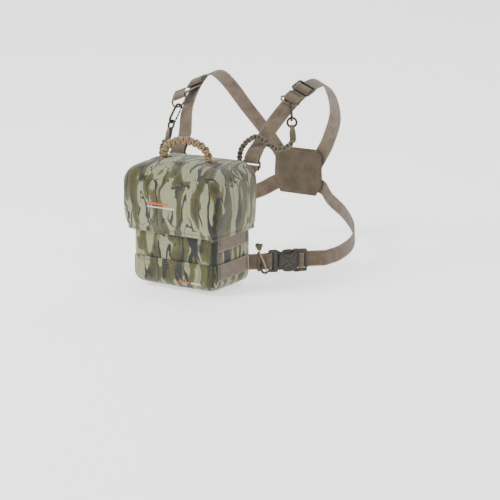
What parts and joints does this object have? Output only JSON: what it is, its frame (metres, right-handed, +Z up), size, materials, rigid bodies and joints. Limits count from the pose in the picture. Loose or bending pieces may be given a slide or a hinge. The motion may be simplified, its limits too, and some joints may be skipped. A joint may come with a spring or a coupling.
{
  "type": "binocular harness pack",
  "caption": "Hooded fabric chest pack for binoculars with a swinging top handle, webbing chest harness, side-release buckles, snap hooks and woven tethers.",
  "frame": {"origin": "centre of the back pad's rear face, which lies on the wearer's chest", "axes": "+Z up; the pack's front faces -Y; +X is the wearer's left; +Y points out of the back pad towards the wearer"},
  "size_m": [0.3308, 0.3882, 0.2953],
  "materials": {
    "camo_fleece": "brushed, matte, printed",
    "pad_mesh": "open-weave spacer cloth, matte",
    "lining": "matte",
    "webbing": "ribbed, matte",
    "buckle_plastic": "satin moulded",
    "dark_hardware": "dark satin coat",
    "olive_cord": "woven cord, matte",
    "tan_cord": "woven cord, matte",
    "magnet": "satin"
  },
  "bodies": {
    "pack": {"anchor_webbing_left": "webbing", "anchor_webbing_right": "webbing", "back_pad": "pad_mesh", "back_patch": "webbing", "body_magnet_left": "magnet", "body_magnet_right": "magnet", "buckle_plug_left": "buckle_plastic", "buckle_plug_right": "buckle_plastic", "d_ring_left": "dark_hardware", "d_ring_right": "dark_hardware", "floor_pad": "lining", "front_pocket": "camo_fleece", "hinge_tape": "webbing", "hook_left": "dark_hardware", "hook_right": "dark_hardware", "keeper_cord_left": "webbing", "keeper_cord_right": "webbing", "mouth_tape": "webbing", "pack_shell": "camo_fleece", "plug_strap_left": "webbing", "plug_strap_right": "webbing", "shoulder_loop_left": "dark_hardware", "shoulder_loop_right": "dark_hardware", "shoulder_strap_left": "webbing", "shoulder_strap_right": "webbing", "shoulder_tab_left": "webbing", "shoulder_tab_right": "webbing", "side_band_lower_left": "webbing", "side_band_lower_right": "webbing", "side_band_upper_left": "webbing", "side_band_upper_right": "webbing", "side_strap_left": "webbing", "side_strap_right": "webbing", "slider_left": "buckle_plastic", "slider_right": "buckle_plastic", "strap_keeper_left": "buckle_plastic", "strap_keeper_right": "buckle_plastic", "tether_left": "olive_cord", "tether_right": "olive_cord", "tether_ring_left": "dark_hardware", "tether_ring_right": "dark_hardware", "tether_tab_left": "webbing", "tether_tab_right": "webbing"},
    "lid": {"lid_shell": "camo_fleece", "lid_webbing": "webbing", "lid_magnet_left": "magnet", "lid_magnet_right": "magnet"},
    "handle": {"handle": "tan_cord"},
    "hook_gate_left": {"hook_gate_left": "dark_hardware"},
    "plug_arm_upper_left": {"plug_arm_upper_left": "buckle_plastic"},
    "plug_arm_lower_left": {"plug_arm_lower_left": "buckle_plastic"},
    "socket_left": {"buckle_socket_left": "buckle_plastic", "socket_webbing_left": "webbing"},
    "hook_gate_right": {"hook_gate_right": "dark_hardware"},
    "plug_arm_upper_right": {"plug_arm_upper_right": "buckle_plastic"},
    "plug_arm_lower_right": {"plug_arm_lower_right": "buckle_plastic"},
    "socket_right": {"buckle_socket_right": "buckle_plastic", "socket_webbing_right": "webbing"}
  },
  "joints": [
    {"name": "lid_hinge", "type": "hinge", "parent": "pack", "child": "lid", "pos_m": [0, -0.007, 0.087], "axis": [-1, 0, 0], "range_deg": [0, 90]},
    {"name": "handle_swing", "type": "hinge", "parent": "lid", "child": "handle", "pos_m": [0, -0.069, 0.1049], "axis": [1, 0, 0], "range_deg": [-50, 50]},
    {"name": "hook_gate_left_swing", "type": "hinge", "parent": "pack", "child": "hook_gate_left", "pos_m": [0.11056, 0.05501, 0.16398], "axis": [-0.8335, -0.5523, 0.0159], "range_deg": [0, 25], "stiffness_Nm_per_rad": 0.01, "springref_deg": -17.19},
    {"name": "plug_arm_upper_left_flex", "type": "hinge", "parent": "pack", "child": "plug_arm_upper_left", "pos_m": [0.10387, 0.02909, -0.052], "axis": [-0.6691, 0.7431, 0], "range_deg": [0, 7], "stiffness_Nm_per_rad": 0.8},
    {"name": "plug_arm_lower_left_flex", "type": "hinge", "parent": "pack", "child": "plug_arm_lower_left", "pos_m": [0.10387, 0.02909, -0.073], "axis": [0.6691, -0.7431, 0], "range_deg": [0, 7], "stiffness_Nm_per_rad": 0.8},
    {"name": "socket_left_slide", "type": "slide", "parent": "pack", "child": "socket_left", "axis": [0.7431, 0.6691, 0], "range_m": [0, 0.026], "deforming": ["plug_arm_upper_left", "plug_arm_lower_left"]},
    {"name": "hook_gate_right_swing", "type": "hinge", "parent": "pack", "child": "hook_gate_right", "pos_m": [-0.09643, 0.04444, 0.13708], "axis": [0.9037, -0.4171, -0.0966], "range_deg": [0, 25], "stiffness_Nm_per_rad": 0.01, "springref_deg": -17.19},
    {"name": "plug_arm_upper_right_flex", "type": "hinge", "parent": "pack", "child": "plug_arm_upper_right", "pos_m": [-0.10387, 0.02909, -0.052], "axis": [-0.6691, -0.7431, 0], "range_deg": [0, 7], "stiffness_Nm_per_rad": 0.8},
    {"name": "plug_arm_lower_right_flex", "type": "hinge", "parent": "pack", "child": "plug_arm_lower_right", "pos_m": [-0.10387, 0.02909, -0.073], "axis": [0.6691, 0.7431, 0], "range_deg": [0, 7], "stiffness_Nm_per_rad": 0.8},
    {"name": "socket_right_slide", "type": "slide", "parent": "pack", "child": "socket_right", "axis": [-0.7431, 0.6691, 0], "range_m": [0, 0.026], "deforming": ["plug_arm_upper_right", "plug_arm_lower_right"]}
  ]
}
